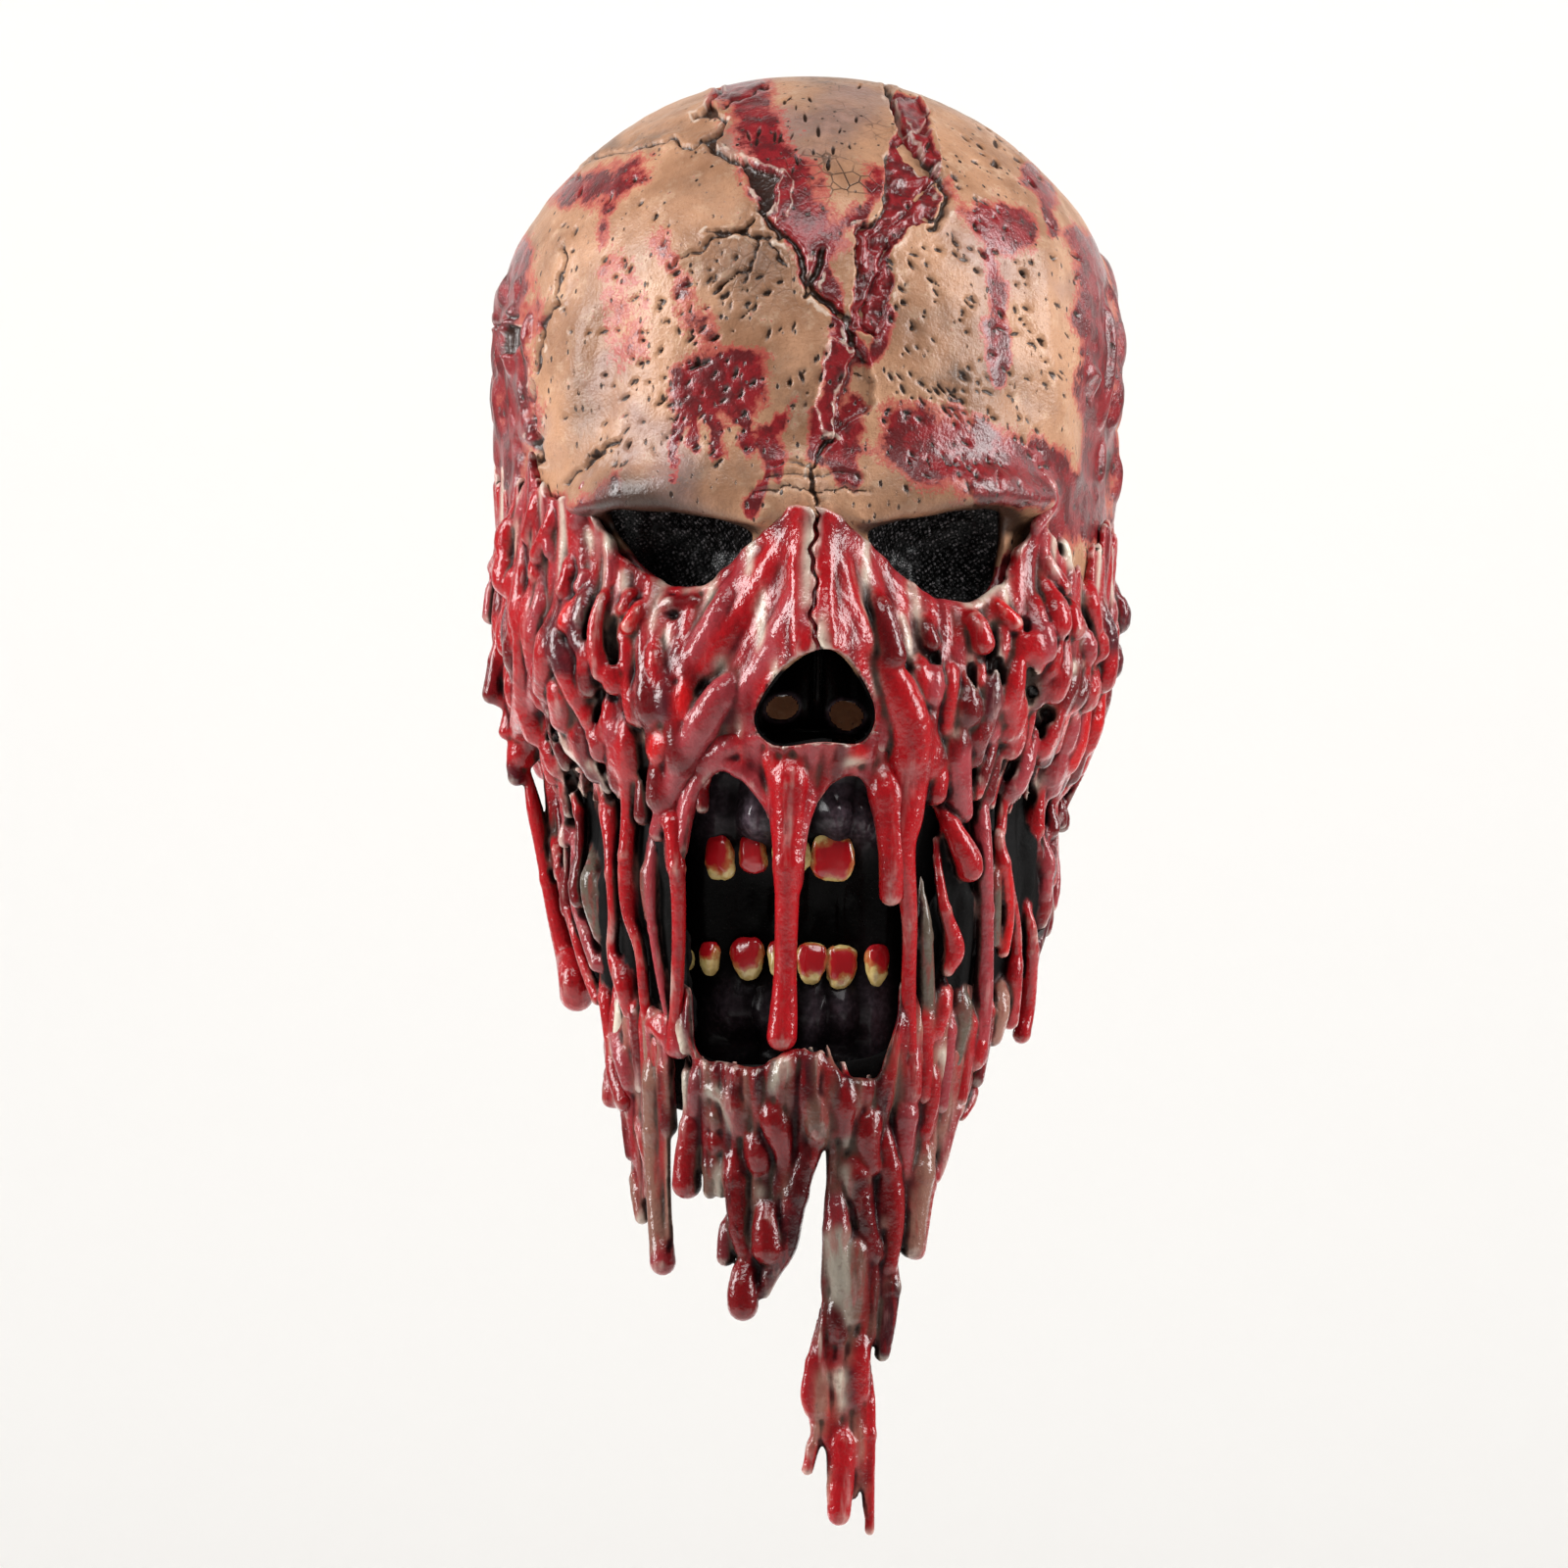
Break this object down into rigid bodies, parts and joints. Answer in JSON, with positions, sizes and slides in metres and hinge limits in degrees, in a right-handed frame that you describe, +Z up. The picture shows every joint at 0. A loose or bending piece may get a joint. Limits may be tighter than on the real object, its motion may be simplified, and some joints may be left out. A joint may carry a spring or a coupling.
{
  "type": "full-head melting skull horror mask",
  "caption": "Full-head latex mask of a cracked skull whose bloody face melts away in long hanging drips over a black mouth with teeth.",
  "frame": {"origin": "inside of the crown, where the wearer's head carries the mask", "axes": "+Z up along the head, -Y the way the face looks, +X to the right as seen from the front"},
  "size_m": [0.2065, 0.2384, 0.466],
  "materials": {
    "bone_latex": "satin tan bone paint with brown pits and red splashes",
    "flesh_latex": "wet gloss blood red over cream and grey",
    "black_latex": "gloss black",
    "tooth_latex": "gloss ivory with red roots",
    "eye_gauze": "black stiffened see-through mesh"
  },
  "bodies": {
    "root": {"skull_shell": "bone_latex", "eye_gauze_left": "eye_gauze", "eye_gauze_right": "eye_gauze", "nose_lining": "black_latex", "mouth_lining": "black_latex", "tooth_upper_1": "tooth_latex", "tooth_upper_2": "tooth_latex", "tooth_upper_3": "tooth_latex", "tooth_upper_4": "tooth_latex", "tooth_lower_1": "tooth_latex", "tooth_lower_2": "tooth_latex", "tooth_lower_3": "tooth_latex", "tooth_lower_4": "tooth_latex", "tooth_lower_5": "tooth_latex", "tooth_lower_6": "tooth_latex", "tooth_lower_7": "tooth_latex", "melt_cheek_left": "flesh_latex", "melt_cheek_right": "flesh_latex", "melt_lip": "flesh_latex", "melt_chin": "flesh_latex"}
  },
  "joints": []
}
